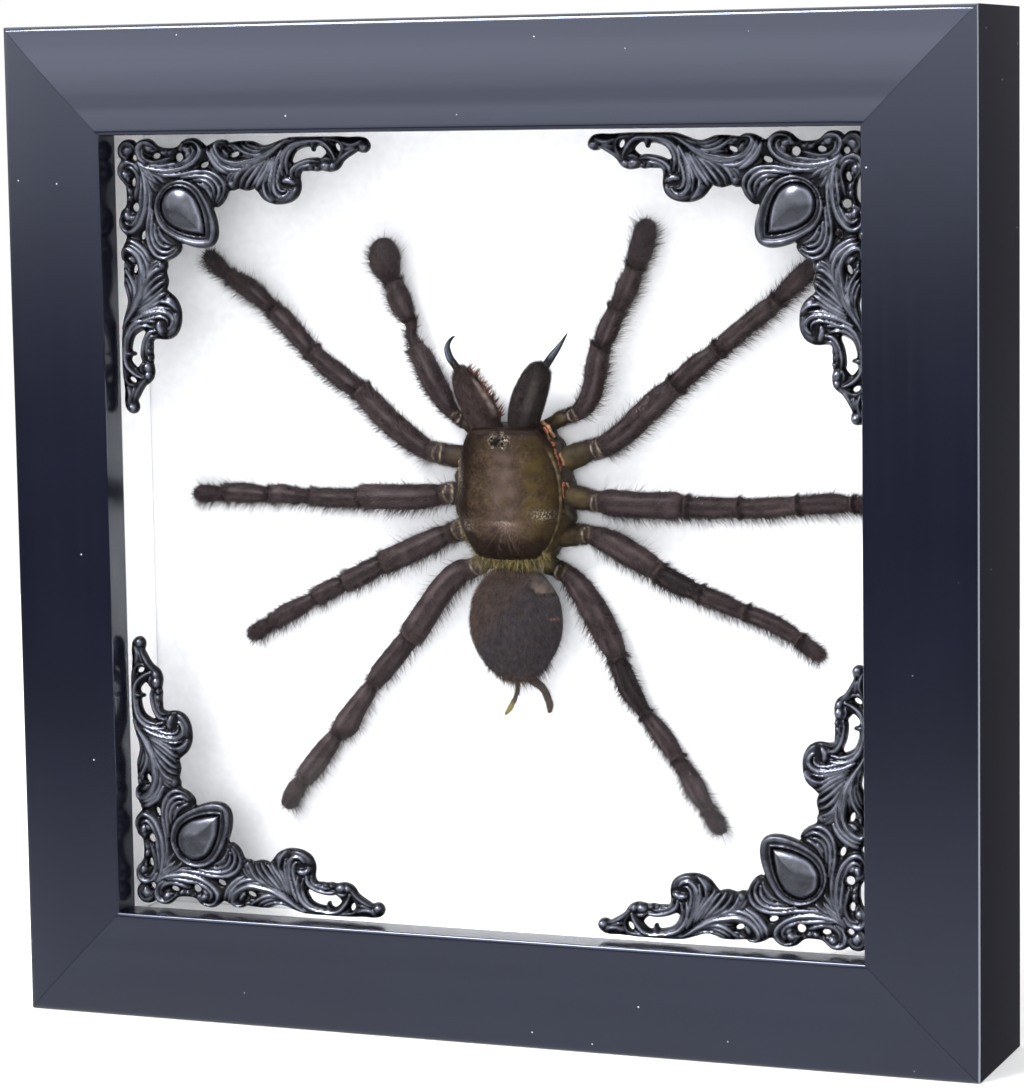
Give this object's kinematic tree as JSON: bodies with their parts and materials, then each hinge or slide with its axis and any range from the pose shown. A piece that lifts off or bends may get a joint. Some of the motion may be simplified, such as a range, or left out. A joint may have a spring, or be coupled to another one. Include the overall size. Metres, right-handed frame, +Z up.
{
  "type": "framed tarantula specimen",
  "caption": "Dried tarantula with spread legs behind glass in a square black shadow-box frame with cast scrollwork corner ornaments.",
  "frame": {"origin": "middle of the frame's underside, at the middle of its overall depth", "axes": "+Z up, the glazed front faces -Y, +X to the viewer's right"},
  "size_m": [0.2032, 0.0334, 0.2032],
  "materials": {
    "black_lacquer": "black lacquered wood, satin, with a cool sheen",
    "clear_glass": "clear float glass",
    "white_board": "smooth white mount board",
    "hardboard": "brown hardboard back",
    "white_foam": "white foam spacer strip",
    "plated_steel": "zinc-plated steel",
    "dark_pewter": "dark cast metal with bright edges",
    "carapace_shell": "dried olive-brown shell, satin gloss",
    "abdomen_velvet": "charcoal velvet of short hair",
    "fang_black": "glossy black",
    "jaw_velvet": "dark brown short hair",
    "spinneret_skin": "brown skin with olive tips",
    "leg_velvet": "dark brown short hair"
  },
  "bodies": {
    "root": {"abdomen": "abdomen_velvet", "back_panel": "hardboard", "carapace": "carapace_shell", "chelicera_left": "jaw_velvet", "chelicera_right": "jaw_velvet", "fang_left": "fang_black", "fang_right": "fang_black", "glass_pane": "clear_glass", "hanger": "plated_steel", "leg_1_left": "leg_velvet", "leg_1_right": "leg_velvet", "leg_2_left": "leg_velvet", "leg_2_right": "leg_velvet", "leg_3_left": "leg_velvet", "leg_3_right": "leg_velvet", "leg_4_left": "leg_velvet", "leg_4_right": "leg_velvet", "mount_board": "white_board", "ornament_bottom_left": "dark_pewter", "ornament_bottom_right": "dark_pewter", "ornament_top_left": "dark_pewter", "ornament_top_right": "dark_pewter", "palp_left": "leg_velvet", "palp_right": "leg_velvet", "rail_bottom": "black_lacquer", "rail_left": "black_lacquer", "rail_right": "black_lacquer", "rail_top": "black_lacquer", "spacer_bottom": "white_foam", "spacer_left": "white_foam", "spacer_right": "white_foam", "spacer_top": "white_foam", "spinneret_left": "spinneret_skin", "spinneret_right": "spinneret_skin", "tab_bottom": "plated_steel", "tab_left": "plated_steel", "tab_right": "plated_steel", "tab_top": "plated_steel"}
  },
  "joints": []
}
